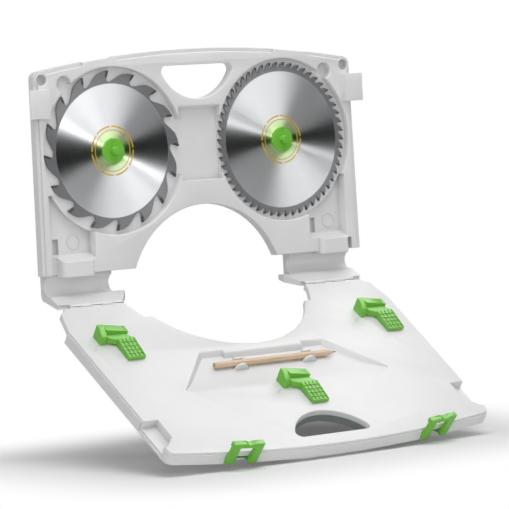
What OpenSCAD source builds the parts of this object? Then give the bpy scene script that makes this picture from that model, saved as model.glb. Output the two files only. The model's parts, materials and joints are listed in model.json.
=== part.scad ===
// Saw blade storage case that hangs on the cross tube of a stand.
// An upright tray carries two blades on quick-release hubs, and a lid hinged
// below it carries a pencil, three holding levers and two bail latches.
// Origin: axis of the cross tube, at mid width. +X right, +Y back, +Z up.

/* [Saw blades] */
// Diameter of the stored blades over their teeth
blade_d = 190; // [180:1:196]
// Bore of the blades
blade_bore_d = 30; // [28:1:32]
// Thickness of the blade plate
plate_t = 1.8; // [1.4:0.1:2.2]
// Width of the carbide tips
kerf_t = 2.6; // [2.2:0.1:3]
// Number of teeth on the coarse blade
coarse_teeth = 16; // [12:1:20]
// Number of teeth on the fine blade
fine_teeth = 54; // [40:1:60]
// Distance between the two blade centres
blade_spacing = 247.4; // [240:0.2:260]
// Height of the blade recesses above the cross tube
blade_rise = 56.3; // [52.5:0.1:65]
// Room around a blade in its recess
recess_margin = 4.5; // [3:0.5:6]
// Tooth height of the coarse blade
coarse_tooth_h = 15.5; // [13:0.5:17]
// Tooth height of the fine blade
fine_tooth_h = 9.5; // [8:0.5:11]

/* [Tray] */
// From a blade's edge to the side of the tray
side_margin = 14.3; // [12:0.1:18]
// From a blade's edge to the top of the tray
top_margin = 21.2; // [19:0.1:26]
// Fall of the arched top edge from the middle to the corners
crown_drop = 20; // [14:1:24]
// How much narrower each side is at the top
side_taper = 2.5; // [1:0.5:4]
// Distance of the tray's face in front of the cross tube's axis
face_front = 10; // [9.5:0.5:11]
// Depth of the tray from its face to its back edge
tray_depth = 13; // [12.5:0.5:16]
// Wall of the tray and lid mouldings
skin = 2.4; // [2:0.1:3]
// Depth of the blade recesses
recess_depth = 9; // [8.5:0.5:10]
// Depth of the middle pocket
mid_depth = 10.4; // [9.8:0.2:10.6]
// Depth of the lower corner pockets
pocket_depth = 16; // [14:0.5:18]
// Width of the stepped rim around the face
rim_w = 4.5; // [3:0.5:6]
// Step of the rim below the face
rim_step = 2.5; // [1.5:0.5:3]

/* [Openings] */
// Radius of the hand hole's rounded edge
hand_r = 58; // [50:1:64]
// Height of the hand hole
hand_h = 41; // [36:1:46]
// Corner radius of the hand hole
hand_corner_r = 7; // [5:1:9]
// Radius of the round cut-out in the tray's lower edge
cut_r = 112; // [104:1:116]
// Radius of the cut-out in the lid
lid_cut_r = 126; // [118:1:130]

/* [Cross tube] */
// Diameter of the tube that the tray hangs on
tube_d = 21; // [20:0.1:21.4]
// Clearance of the tube in its seat
tube_gap = 0.1; // [0.05:0.05:0.2]
// Length of each tube seat
seat_l = 91; // [84:1:93]
// From the side of the tray to each tube seat
seat_edge = 11; // [9:0.5:14]
// Diameter of the stand's legs that the side clips lap
leg_d = 34; // [30:1:36]

/* [Lid] */
// Angle of the open lid below the horizontal
lid_slope = 34.8; // [20:0.1:45]
// Depth of the lid from its inner face to its outside
lid_depth = 16; // [14:0.5:18]
// Depth of the lid's plate at the hinge tabs and the cut-out
tab_depth = 7; // [6:0.5:8]
// Radius of the hinge barrels
barrel_r = 3.2; // [3:0.1:3.6]
// Diameter of the hinge pins
pin_d = 2.5; // [2:0.1:3]
// Running clearance of the pins in the moving barrels
pin_gap = 0.05; // [0.03:0.01:0.08]
// Height of the lid's inner face above the hinge axis
hinge_set = 1.6; // [1.2:0.1:2]

/* [Latches] */
// Distance of each latch from the middle
latch_x = 139; // [125:1:150]
// Width of a latch
latch_w = 40; // [34:1:44]
// Height of a latch above its pivot
latch_h = 29.5; // [28.5:0.1:30]
// Lean of the open latches away from the lid
latch_lean = 8; // [0:1:12]
// Thickness of a latch
latch_t = 4.2; // [3.5:0.1:5]

/* [Holding levers] */
// Height of a lever block above the lid
lever_h = 17.4; // [14:0.2:17.6]
// Length of a lever's bar
lever_bar_l = 39; // [36:1:43]
// Reach of a lever's handle from its block
lever_reach = 32.7; // [26:0.1:34]
// Width of a lever's handle
lever_w = 23; // [20:0.5:24]
// Number of ribs along a lever's handle
lever_ribs = 4; // [3:1:5]

/* [Pencil] */
// Length of the pencil
pencil_l = 177; // [170:1:180]
// Width of the pencil across its flats
pencil_w = 7; // [6.6:0.1:7.4]

/* [Hidden] */
$fn = 96;
// Overrun of every cut past the face that it opens
over = 1;
// Gap between pieces that move past each other
run_gap = 0.3;
case_grey = [0.86, 0.86, 0.85];
lime = [0.45, 0.72, 0.2];
steel = [0.66, 0.67, 0.69];
tooth_grey = [0.3, 0.31, 0.33];
wood_tone = [0.88, 0.72, 0.5];

// Tray places
tube_r = tube_d / 2;
seat_r = tube_r + tube_gap;
blade_r = blade_d / 2;
blade_x = blade_spacing / 2;
recess_r = blade_r + recess_margin;
blade_height = recess_r + blade_rise;
tray_half = blade_x + blade_r + side_margin;
tray_top = blade_height + blade_r + top_margin;
arm_rise = 4.3;
arm_z = tube_r + arm_rise;
tray_lean = side_taper / (tray_top - crown_drop - arm_z);
top_half = tray_half - side_taper;
crown_r = (top_half * top_half + crown_drop * crown_drop) / (2 * crown_drop);
crown_z = tray_top - crown_r;
top_corner_r = 9;
face_y = -face_front;
back_y = face_y + tray_depth;
floor_y = face_y + recess_depth;
cut_drop = 27.2;
hand_top = 19.2;
hand_z = tray_top - hand_top;

// Middle pocket, around the height of the blades
mid_lap = 5.8;
mid_half = blade_x - recess_r + mid_lap;
mid_low = 42;
mid_high = 48;
mid_slope = 4.3;

// Lower corner pockets and the stop blocks under them
pocket_sides = [13, 77];
pocket_ws = [61.5, 57];
pocket_lefts = [pocket_sides[0] - tray_half, tray_half - pocket_sides[1]];
pocket_z = 38;
pocket_top = 108;
pocket_floor_y = face_y + pocket_depth;
slot_in = 11;
slot_out = 19;
slot_high = 18;
slot_sink = 4.8;
stop_in = 12;
stop_w = 44;
stop_low_z = 11.8;
stop_top = 28.9;
stop_proud = 6;
stop_round = 6;
stop_y = face_y - stop_proud;
corner_deep = 10;
corner_edge = 13.5;
corner_end = tray_half - corner_edge;

// Small details of the tray
finger_r = 10;
finger_out = 5.3;
finger_turn = 50.77;
finger_x = blade_x + (recess_r + finger_out) * cos(finger_turn);
finger_z = blade_height + (recess_r + finger_out) * sin(finger_turn);
socket_r = 6.5;
socket_in = 10;
socket_low = 8.8;
socket_x = top_half - socket_in;
socket_z = tray_top - crown_drop - socket_low;
socket_depth = 8;
emboss = 0.8;
emboss_w = 1.2;
ring_r = 9;
ring_in = 39.6;
ring_rise = 13.5;
rib_t = 1.6;
rib_pitch = 31;
rib_columns = floor(tray_half / rib_pitch);
rib_rows = floor(tray_top / rib_pitch);

// Catches in the top edge
catch_w = latch_w + 4;
catch_cut = 2.2;
catch_lip_h = 1.8;
catch_lip_t = 1.7;
catch_deep = 8;

// Hook under the tube, with the hinge at its front
lip_back = 16.5;
lip_round = 7.9;
lip_top_y = -2.3;
lip_top_z = -10.7;
lip_rise = 23;
lip_high = arm_z + lip_rise;
lip_flare = 14;
lip_slant = 5;
lip_joint_y = 3;
hinge_y = -21.3;
hinge_z = -22.7;
lip_edge_y = 0.7;
lip_edge_z = 2.5;
tip_gap = barrel_r + 0.4;
seat_out = tray_half - seat_edge;
seat_in = seat_out - seat_l;
hinge_inset = 3;
hinge_outset = 14;
hinge_in = seat_in + hinge_inset;
hinge_out = seat_out - hinge_outset;
knuckle_gap = 0.4;
knuckle_l = (hinge_out - hinge_in - 4 * knuckle_gap) / 5;
knuckle_pitch = knuckle_l + knuckle_gap;
pin_r = pin_d / 2;
core_end = 16.4;
core_count = 3;
core_pitch = (seat_l - core_end) / core_count;

// Hubs, along y from the blade's bore to the cup behind the tray
hub_gap = 0.08;
hub_r = blade_bore_d / 2 - hub_gap;
hub_nose = 6;
hub_face_y = floor_y - hub_nose;
hub_cup_l = 10;
hub_back_y = floor_y + hub_cup_l;
hub_neck_r = 12;
hub_hole_gap = 0.1;
hub_cup_r = 6.3;
hub_wall = 1.5;
hub_collar = 2.5;
shoulder_r = 22;
blade_lift = 1.2;
plate_back_y = floor_y - blade_lift;
plate_front_y = plate_back_y - plate_t;
tip_out = (kerf_t - plate_t) / 2;
button_r = 5;
button_gap = 0.06;
button_out = 8;
flange_t = 2;
flange_r = 6;
mark_r = 1.3;
mark_at = 9.8;
mark_deep = 0.6;
nut_r = 17;
hub_nut_gap = 0.03;
nut_t = 3;
wire_r = 0.45;
spring_r = 4.6;
spring_turns = 5;
spring_sides = 8;

// Leg clips
leg_r = leg_d / 2;
leg_in = 2;
leg_x = tray_half + leg_r - leg_in;
clip_lap = 18.5;
clip_reach = 10.5;
clip_in = tray_half - clip_lap;
clip_out = tray_half + clip_reach;
clip_drop = 74;
clip_h = 34;
clip_low = tray_top - clip_drop;
clip_high = clip_low + clip_h;
clip_front = 9.2;
clip_edge = 1.6;
clip_gap = 0.2;
clip_step = 5.6;
clip_step_x = tray_half - clip_step;
clip_round = 4;

// Lid places: x across, s down from the hinge axis, h up from the hinge axis
lid_face = hinge_set;
lid_out = lid_face - lid_depth;
tab_out = lid_face - tab_depth;
lid_fall = 0.7;
lid_top_s = tray_top - hinge_z - lid_fall;
lid_crown_s = lid_top_s - crown_r;
lid_wider = 1.7;
lid_low_half = tray_half + lid_wider;
lid_low_s = 46;
lid_top_in = 1;
lid_high_half = top_half - lid_top_in;
lid_lean = (lid_low_half - lid_high_half) / (lid_top_s - crown_drop - lid_low_s);
tab_corner_in = 7.7;
tab_corner_half = lid_low_half - tab_corner_in;
tab_corner_s = 13;
tab_root_in = 9;
tab_root_half = tab_corner_half - tab_root_in;
tab_root_s = 6;
cut_centre_s = 24;
step_s = 33;
root_gap = 2;
step_in = 10;
root_half = hinge_in - root_gap;
step_half = root_half - step_in;
root_s = 10;
lid_hand_s = 18;
shell_lap = 1.5;
shell_cut = 16;
seam = 0.2;
shell_rim = 3;
tab_core_edge = 3.8;
tab_core_count = 3;
tab_core_pitch = (tab_root_half - root_half - 2 * tab_core_edge) / tab_core_count;
tab_core_low = 12;

// Corner reliefs that clear the leg clips
notch_deep = 18;
notch_slope = 14.5;
notch_gap = 4.7;
notch_room = 7.3;
notch_drop = 10.5;
notch_h = lid_face - notch_drop;
notch_in = lid_high_half - notch_deep;
notch_bend = notch_in + notch_slope;
notch_low = clip_low - hinge_z - notch_gap;
notch_high = clip_high - hinge_z + notch_room;

// Pencil tray in the lid
scoop_gap = 6;
scoop_fall = 5;
scoop_steps = [5, 47, 64, 70];
scoop_depths = [6.2, 5];
scoop_back = lid_cut_r - cut_centre_s + scoop_gap;
scoop_bend_s = scoop_back + scoop_steps[1];
scoop_wide_s = scoop_back + scoop_steps[2];
scoop_front = scoop_back + scoop_steps[3];
scoop_back_half = 89;
scoop_wide_half = 147;
scoop_front_half = 141;
scoop_depth = scoop_depths[0];
scoop_mid_half = 57;
scoop_mid_s = scoop_back + scoop_steps[0];
pencil_in = 26;
pencil_s = scoop_back + pencil_in;
pencil_mid = 5;
pencil_sink = 1;
pencil_hex_r = pencil_w / sqrt(3);
pencil_taper = 19;
lead_r = 1.1;
lead_out = 4;
lead_wall = 0.3;
cradle_out = 49.5;
cradle_off = 2.5;
cradle_xs = [pencil_mid - cradle_off - cradle_out, pencil_mid - cradle_off + cradle_out];
cradle_half = 10;
cradle_t = 3;
cradle_top = 2.2;
pillar_half = 6;

// Lid screws
screw_ins = [84.7, 17.7, 69.5, 61];
screw_ups = [18, 72, 82, 38];
screw_spots = [
    [lid_low_half - screw_ins[0], lid_low_s + screw_ups[0]],
    [lid_low_half - screw_ins[1], lid_low_s + screw_ups[1]],
    [lid_high_half - screw_ins[2], lid_top_s - screw_ups[2]],
    [latch_x - screw_ins[3], lid_top_s - screw_ups[3]]];
screw_r = 1.5;
screw_head_r = 3;
screw_head_h = 2;
screw_bite = 6;
boss_r = 3.6;
drive_r = 1.5;

// Holding levers, measured from the outer corner of each block
lever_ins = [24.7, 66.2, 20];
lever_up = 14;
lever_gap = 39;
lever_spots = [
    [lever_ins[0] - lid_low_half, lid_low_s + lever_up],
    [lid_low_half - lever_ins[1], lid_low_s + lever_up],
    [-lever_ins[2], pencil_s + lever_gap]];
block_w = 7;
block_l = 17;
block_flat = 6;
block_front_h = 11.8;
ear_t = 3;
ear_h = 12.4;
ear_room = 1.8;
foot_h = 1.2;
bar_deep = 11;
bar_low = 6;
bar_inset = 0.4;
pivot_s = 6;
pivot_h = 8.8;
lever_pin_r = 1.25;
lever_pin_gap = 0.05;
pin_end = 1.6;
neck_in = 9;
neck_s = 15.5;
neck_root = 9.6;
neck_out = 5;
neck_turn = 19;
handle_x = 20.5;
handle_root = 9;
handle_end = 4.2;
handle_low = 1.4;
handle_start = 18;
rail_t = 1.3;
rail_h = 1.5;
cross_ribs = 5;
slot_l = 12;
slot_w = 2;
slot_deep = 1.2;

// Latches: u along the edge, w outward, h up
latch_gap = 1;
latch_tilt = asin(latch_x / crown_r);
latch_side = 10.6;
latch_bar = 6.5;
latch_drop = 11;
latch_pivot_h = lid_face - latch_drop;
latch_top = latch_pivot_h + latch_h;
latch_pivot_w = -2;
latch_barrel_r = 2.4;
latch_pin_r = 1;
latch_pin_hold = 4;
latch_pin_end = latch_w / 2 + latch_pin_hold - run_gap;
hook_deep = 2.2;
hook_inset = 0.3;
wave_r = 9;
wave_deep = 1.9;
wave_off = 2;
latch_room = 5;

// Turns a profile drawn in x and z into a slab from y0 back to y1
module upright(y0, y1) {
    translate([0, y1, 0]) rotate([90, 0, 0]) linear_extrude(y1 - y0) children();
}

// Sweeps a profile drawn in y and z along x, from x0 to x1
module across(x0, x1) {
    translate([x0, 0, 0]) rotate([90, 0, 90]) linear_extrude(x1 - x0) children();
}

// Cylinder along y, from y0 back to y1
module y_rod(r, y0, y1) {
    translate([0, y1, 0]) rotate([90, 0, 0]) cylinder(r = r, h = y1 - y0);
}

// Cylinder along x, from x0 to x1
module x_rod(r, x0, x1) {
    translate([x0, 0, 0]) rotate([0, 90, 0]) cylinder(r = r, h = x1 - x0);
}

module both_sides() {
    children();
    mirror([1, 0, 0]) children();
}

// Puts the lid's own frame at the hinge axis, open at its slope
module lid_place() {
    translate([0, hinge_y, hinge_z]) rotate([lid_slope, 0, 0]) children();
}

// Slab of the lid between two heights, from a profile drawn in x and s
module lid_slab(h0, h1) {
    translate([0, 0, h0]) linear_extrude(h1 - h0) mirror([0, 1, 0]) children();
}

// Sweeps a profile drawn in s and h along x, in the lid's frame
module lid_across(x0, x1) {
    across(x0, x1) mirror([1, 0, 0]) children();
}

// Frame of a latch on the lid's arched edge: u, minus w, h
module latch_place(side) {
    lid_place()
        translate([0, -lid_crown_s, 0])
            rotate([0, 0, side * latch_tilt])
                translate([0, -crown_r - latch_gap, 0])
                    children();
}

// Height of a rounded corner's centre above the centre of the arched edge
function corner_rise(b, k, r) =
    (b * k + sqrt(b * b * k * k - (1 + k * k) * (b * b - r * r))) / (1 + k * k);

// Sliver outside the rounded corner between a leaning side and the arched edge
module corner_sliver(half, lean, arch_z, arch_r, r) {
    a = atan(lean);
    b = half - lean * arch_z - r / cos(a);
    rise = corner_rise(b, lean, arch_r - r);
    cx = b - lean * rise;
    cz = arch_z + rise;
    reach = 3 * r;
    difference() {
        polygon([
            [cx, cz],
            [cx + reach * cos(a), cz + reach * sin(a)],
            [cx + reach, cz + reach],
            [cx + reach * cx / (arch_r - r), cz + reach * rise / (arch_r - r)]]);
        translate([cx, cz]) circle(r);
    }
}

// D-shaped hand hole hanging below its flat side
module hand_hole(grow) {
    drop = hand_r - hand_h;
    inner_r = hand_r - hand_corner_r;
    rise = drop + hand_corner_r;
    cx = sqrt(inner_r * inner_r - rise * rise);
    big = hand_r + grow;
    small = hand_corner_r + grow;
    reach = 3 * small;
    difference() {
        intersection() {
            translate([0, drop]) circle(big);
            translate([-big, drop - big]) square([2 * big, big - drop + grow]);
        }
        for (side = [-1, 1]) difference() {
            polygon([
                [side * cx, -hand_corner_r],
                [side * cx, reach - hand_corner_r],
                [side * (cx + reach), reach - hand_corner_r],
                [side * (cx + reach * cx / inner_r), -hand_corner_r - reach * rise / inner_r]]);
            translate([side * cx, -hand_corner_r]) circle(small);
        }
    }
}

// Outline of the tray, drawn in by one amount at its edge and another at its openings
module tray_shape(edge, hole) {
    low_half = tray_half - edge;
    high_half = low_half - tray_lean * (tray_top - arm_z);
    difference() {
        intersection() {
            translate([0, crown_z]) circle(crown_r - edge);
            polygon([
                [-low_half, arm_z + hole],
                [low_half, arm_z + hole],
                [high_half, tray_top],
                [-high_half, tray_top]]);
        }
        both_sides() corner_sliver(
            low_half + tray_lean * arm_z,
            tray_lean, crown_z, crown_r - edge, top_corner_r - edge);
        translate([0, -cut_drop]) circle(cut_r + hole);
        translate([0, hand_z]) hand_hole(hole);
    }
}

module pocket_shape(grow) {
    for (i = [0, 1]) difference() {
        translate([pocket_lefts[i] - grow, pocket_z - grow])
            square([pocket_ws[i] + 2 * grow, pocket_top - pocket_z + 2 * grow]);
        both_sides() translate([blade_x, blade_height]) circle(recess_r - grow);
    }
}

// Deeper slots at the left of the lower pockets
module slot_shape(grow) {
    for (i = [0, 1]) translate([pocket_lefts[i] + slot_in - grow, pocket_z - grow])
        square([slot_out - slot_in + 2 * grow, slot_high + 2 * grow]);
}

// Round blade recesses with the finger recesses beside them
module recess_shape(grow) {
    both_sides() {
        translate([blade_x, blade_height]) circle(recess_r + grow);
        translate([finger_x, finger_z]) circle(finger_r + grow);
    }
}

module mid_shape(grow) {
    translate([-mid_half - grow, blade_height - mid_low - grow])
        square([2 * (mid_half + grow), mid_low + mid_high + 2 * grow]);
}

// Hollow pan of the tray with its stepped rim
module tray_pan() {
    flange_y = face_y + rim_step;
    difference() {
        union() {
            upright(flange_y, back_y) tray_shape(0, 0);
            upright(face_y, flange_y + rim_step) tray_shape(rim_w, 0);
        }
        upright(flange_y + skin, back_y + over) tray_shape(skin, skin);
        upright(face_y + skin, back_y + over) tray_shape(rim_w + skin, skin);
    }
}

// Ribs on the open back of the tray
module tray_ribs() {
    intersection() {
        union() {
            upright(face_y + skin / 2, back_y) tray_shape(rim_w + skin / 2, skin / 2);
            upright(face_y + rim_step + skin / 2, back_y) tray_shape(skin / 2, skin / 2);
        }
        upright(face_y, back_y) {
            for (i = [-rib_columns:rib_columns])
                translate([i * rib_pitch - rib_t / 2, 0]) square([rib_t, tray_top]);
            for (i = [1:rib_rows])
                translate([-tray_half, i * rib_pitch - rib_t / 2]) square([2 * tray_half, rib_t]);
        }
    }
}

// Profile of the hook that carries the tube seat and the hinge
module hook_profile() {
    polygon([
        [face_y + skin / 2, arm_z],
        [face_y + skin / 2, lip_high],
        [lip_back, lip_high],
        [lip_back, lip_round - lip_back],
        [lip_back - lip_round, lip_round - lip_back],
        [lip_back - lip_round, 0],
        [lip_joint_y, 0],
        [lip_joint_y, arm_z]]);
    translate([lip_back - lip_round, lip_round - lip_back]) circle(lip_round);
    polygon([
        [lip_back - lip_round, -lip_back],
        [hinge_y, hinge_z - barrel_r],
        [hinge_y + lip_edge_y, hinge_z + lip_edge_z],
        [lip_top_y, lip_top_z],
        [lip_top_y, 0],
        [lip_back - lip_round, 0]]);
}

// Stop blocks below the lower pockets, with rounded front edges
module stops() {
    for (i = [0, 1]) translate([pocket_lefts[i] + stop_in, 0, 0]) intersection() {
        translate([0, 0, stop_low_z]) linear_extrude(pocket_z - stop_low_z) {
            polygon([
                [0, stop_y + stop_round],
                [stop_round, stop_y],
                [stop_w - stop_round, stop_y],
                [stop_w, stop_y + stop_round],
                [stop_w, back_y],
                [0, back_y]]);
            for (x = [stop_round, stop_w - stop_round]) translate([x, stop_y + stop_round]) circle(stop_round);
        }
        across(0, stop_w) polygon([
            [stop_y, stop_low_z],
            [stop_y, stop_top],
            [back_y, pocket_z],
            [back_y, stop_low_z]]);
    }
}

// Inner end of the hooks' lips, longer along the tube than at the hinge
module lip_end() {
    intersection() {
        across(seat_in - lip_flare, seat_in + lip_slant) polygon([
            [lip_back - lip_round, -lip_back],
            [hinge_y, hinge_z - barrel_r],
            [hinge_y + lip_edge_y, hinge_z + lip_edge_z],
            [lip_top_y, lip_top_z],
            [lip_back - lip_round, lip_top_z]]);
        translate([0, 0, hinge_z - barrel_r]) linear_extrude(lip_top_z - hinge_z + barrel_r) polygon([
            [seat_in - lip_flare, lip_back],
            [seat_in - lip_flare, lip_top_y],
            [seat_in + lip_slant, hinge_y - tip_gap],
            [seat_in + lip_slant, lip_back]]);
    }
}

module hooks() {
    both_sides() difference() {
        union() {
            difference() {
                across(seat_in, seat_out) hook_profile();
                // The inner corner of the lip is cut at a slant
                translate([0, 0, hinge_z - 2 * barrel_r]) linear_extrude(lip_top_z - hinge_z + barrel_r)
                    polygon([
                        [seat_in - over, lip_top_y],
                        [seat_in - over, hinge_y - 2 * tip_gap],
                        [seat_in + lip_slant, hinge_y - 2 * tip_gap],
                        [seat_in + lip_slant, hinge_y - tip_gap],
                        [seat_in, lip_top_y]]);
            }
            lip_end();
            translate([0, hinge_y, hinge_z]) x_rod(barrel_r, hinge_in, hinge_out);
        }
        x_rod(seat_r, seat_in - lip_flare - over, seat_out + over);
        // Room for the lid's barrels, and for its tabs beyond them
        translate([0, hinge_y, hinge_z]) {
            x_rod(tip_gap, seat_in - lip_flare - over, hinge_in + knuckle_l + knuckle_gap);
            x_rod(tip_gap, hinge_in + 2 * knuckle_pitch - knuckle_gap, hinge_in + 3 * knuckle_pitch);
            x_rod(tip_gap, hinge_in + 4 * knuckle_pitch - knuckle_gap, seat_out + over);
            x_rod(pin_r, hinge_in - over, hinge_out + over);
        }
    }
    difference() {
        stops();
        x_rod(seat_r, -tray_half, tray_half);
    }
}

// Hollows behind the arms, between the ribs of the hooks
module hook_cores() {
    both_sides() for (k = [0:core_count - 1])
        translate([seat_in + skin + k * core_pitch, face_y + skin, arm_z + skin / 2])
            cube([core_pitch - skin, lip_back - face_y, stop_top - arm_z - 1.5 * skin]);
}

module catch_box(w, low, high, y0, y1) {
    upright(y0, y1) both_sides()
        translate([0, crown_z]) rotate(-latch_tilt)
            translate([-w / 2, crown_r + low]) square([w, high - low]);
}

module tray_panel() {
    color(case_grey) difference() {
        union() {
            difference() {
                union() {
                    tray_pan();
                    tray_ribs();
                }
                hook_cores();
            }
            intersection() {
                upright(face_y + skin / 2, floor_y + skin) recess_shape(skin);
                upright(face_y, back_y) tray_shape(skin / 2, skin / 2);
            }
            upright(face_y + skin / 2, face_y + mid_depth + skin) mid_shape(skin);
            upright(face_y + skin / 2, pocket_floor_y + skin) pocket_shape(skin);
            upright(pocket_floor_y, pocket_floor_y + slot_sink + skin) slot_shape(skin);
            both_sides() translate([socket_x, 0, socket_z])
                y_rod(socket_r + skin, face_y + skin / 2, face_y + socket_depth + skin);
            intersection() {
                catch_box(catch_w + 2 * skin, -catch_deep, over, face_y, back_y);
                upright(face_y, back_y) tray_shape(0, 0);
            }
            difference() {
                hooks();
                hook_cores();
            }
        }
        upright(face_y - over, floor_y) recess_shape(0);
        // Middle pocket with its sloping upper wall
        across(-mid_half, mid_half) polygon([
            [face_y - over, blade_height - mid_low],
            [face_y + mid_depth, blade_height - mid_low],
            [face_y + mid_depth, blade_height + mid_high - mid_slope],
            [face_y, blade_height + mid_high],
            [face_y - over, blade_height + mid_high]]);
        upright(face_y - over, pocket_floor_y) pocket_shape(0);
        upright(face_y - over, pocket_floor_y + slot_sink) slot_shape(0);
        // Sloping surface from each stop block up to the pocket's floor
        for (i = [0, 1]) across(pocket_lefts[i], pocket_lefts[i] + pocket_ws[i]) polygon([
            [stop_y, stop_top],
            [pocket_floor_y, pocket_z],
            [pocket_floor_y, pocket_z + over],
            [stop_y - over, pocket_z + over],
            [stop_y - over, stop_top]]);
        // Open corners beside the stop blocks
        translate([pocket_lefts[0], face_y - over, arm_z - over])
            cube([stop_in, corner_deep + over, pocket_z - arm_z + 2 * over]);
        stop_end = pocket_lefts[1] + stop_in + stop_w;
        translate([stop_end, face_y - over, arm_z - over])
            cube([corner_end - stop_end, corner_deep + over, stop_top - arm_z + over]);
        both_sides() translate([socket_x, 0, socket_z])
            y_rod(socket_r, face_y - over, face_y + socket_depth);
        both_sides() translate([blade_x, 0, blade_height]) {
            y_rod(hub_neck_r + hub_hole_gap, floor_y - over, back_y + over);
            y_rod(nut_r + skin, floor_y + skin, back_y + over);
        }
        catch_box(catch_w, -catch_cut, 2 * over, face_y + catch_lip_t, back_y + over);
        catch_box(catch_w, catch_lip_h - catch_cut, 2 * over, face_y - over, face_y + 2 * catch_lip_t);
    }
    // Raised rings in the lower pockets
    color(case_grey) for (left = pocket_lefts)
        translate([left + ring_in, 0, pocket_z + ring_rise]) difference() {
            y_rod(ring_r, pocket_floor_y - emboss, pocket_floor_y);
            y_rod(ring_r - emboss_w, pocket_floor_y - emboss - over, pocket_floor_y);
        }
}

module hub(side) {
    color(lime) translate([side * blade_x, 0, blade_height]) difference() {
        union() {
            y_rod(hub_r, hub_face_y, plate_back_y);
            y_rod(shoulder_r, plate_back_y, floor_y);
            y_rod(hub_neck_r, floor_y, hub_back_y);
        }
        y_rod(button_r + button_gap, hub_face_y - over, hub_face_y + hub_collar);
        y_rod(hub_cup_r, hub_face_y + hub_collar, hub_back_y - hub_wall);
        for (dz = [-mark_at, mark_at]) translate([0, 0, dz])
            y_rod(mark_r, hub_face_y - over, hub_face_y + mark_deep);
    }
}

module hub_left() {
    hub(-1);
}

module hub_right() {
    hub(1);
}

// Lock ring on the hub's neck behind the tray
module hub_nut(side) {
    color(case_grey) translate([side * blade_x, 0, blade_height]) difference() {
        y_rod(nut_r, floor_y + skin, floor_y + skin + nut_t);
        y_rod(hub_neck_r + hub_nut_gap, floor_y + skin - over, floor_y + skin + nut_t + over);
    }
}

module hub_nut_left() {
    hub_nut(-1);
}

module hub_nut_right() {
    hub_nut(1);
}

module hub_button(side) {
    collar_y = hub_face_y + hub_collar;
    color(lime) translate([side * blade_x, 0, blade_height]) {
        y_rod(button_r, hub_face_y - button_out, collar_y + flange_t / 2);
        y_rod(flange_r, collar_y, collar_y + flange_t);
    }
}

module hub_button_left() {
    hub_button(-1);
}

module hub_button_right() {
    hub_button(1);
}

// Button spring, wound along y between the button and the cup's floor
module hub_spring(side) {
    start_y = hub_face_y + hub_collar + flange_t + wire_r;
    run = hub_back_y - hub_wall - wire_r - start_y;
    steps = spring_turns * spring_sides;
    color(steel) translate([side * blade_x, start_y, blade_height])
        for (i = [0:steps - 1]) {
            a0 = 360 * i / spring_sides;
            a1 = 360 * (i + 1) / spring_sides;
            hull() {
                translate([spring_r * cos(a0), run * i / steps, spring_r * sin(a0)])
                    sphere(wire_r, $fn = 8);
                translate([spring_r * cos(a1), run * (i + 1) / steps, spring_r * sin(a1)])
                    sphere(wire_r, $fn = 8);
            }
        }
}

module hub_spring_left() {
    hub_spring(-1);
}

module hub_spring_right() {
    hub_spring(1);
}

// Tooth outlines as shares of the blade's radius: gullet, seat of the tip, back
coarse_shares = [[0.142, 0.919], [0.09, 0.8905], [0.042, 0.8665], [0.006, 0.858], [-0.0245, 0.867],
    [-0.0375, 0.8885], [-0.0235, 0.926], [-0.051, 0.922], [-0.029, 0.997], [-0.094, 0.9855], [-0.169, 0.953]];
coarse_tip_shares = [[-0.0235, 0.926], [0, 1], [-0.029, 0.997], [-0.051, 0.922]];
fine_shares = [[0.055, 0.974], [0.028, 0.937], [0.003, 0.922], [-0.0125, 0.935],
    [-0.0065, 0.959], [-0.0235, 0.957], [-0.018, 0.9965]];
fine_tip_shares = [[-0.0065, 0.959], [0, 1], [-0.018, 0.9965], [-0.0235, 0.957]];

function turned(p, a) =
    blade_r * [p[0] * cos(a) - p[1] * sin(a), p[0] * sin(a) + p[1] * cos(a)];

module blade_plate(x, teeth, shares) {
    color(steel) translate([x, 0, blade_height]) upright(plate_front_y, plate_back_y) difference() {
        polygon([for (i = [0:teeth - 1]) for (p = shares) turned(p, 360 * i / teeth)]);
        circle(blade_bore_d / 2);
    }
}

module blade_tips(x, teeth, shares) {
    color(tooth_grey) translate([x, 0, blade_height]) upright(plate_front_y - tip_out, plate_back_y + tip_out)
        for (i = [0:teeth - 1]) polygon([for (p = shares) turned(p, 360 * i / teeth)]);
}

module coarse_blade() {
    blade_plate(-blade_x, coarse_teeth, coarse_shares);
}

module coarse_blade_tips() {
    blade_tips(-blade_x, coarse_teeth, coarse_tip_shares);
}

module fine_blade() {
    blade_plate(blade_x, fine_teeth, fine_shares);
}

module fine_blade_tips() {
    blade_tips(blade_x, fine_teeth, fine_tip_shares);
}

// Clip on the tray's face that laps the front of a leg tube
module leg_clip() {
    color(case_grey) translate([0, 0, clip_low]) linear_extrude(clip_high - clip_low) difference() {
        union() {
            polygon([
                [clip_in, face_y],
                [clip_in + clip_edge, face_y - clip_front],
                [clip_out - clip_round, face_y - clip_front],
                [clip_out - clip_round, face_y - clip_front + clip_round],
                [clip_out, face_y - clip_front + clip_round],
                [clip_out, face_y + rim_step],
                [clip_step_x, face_y + rim_step],
                [clip_step_x, face_y]]);
            translate([clip_out - clip_round, face_y - clip_front + clip_round]) circle(clip_round);
        }
        translate([leg_x, 0]) circle(leg_r + clip_gap);
    }
}

module leg_clip_left() {
    mirror([1, 0, 0]) leg_clip();
}

module leg_clip_right() {
    leg_clip();
}

module hinge_pin(side) {
    low = side > 0 ? hinge_in : -hinge_out;
    color(steel) translate([0, hinge_y, hinge_z]) x_rod(pin_r, low, low + hinge_out - hinge_in);
}

module hinge_pin_left() {
    hinge_pin(-1);
}

module hinge_pin_right() {
    hinge_pin(1);
}

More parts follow.
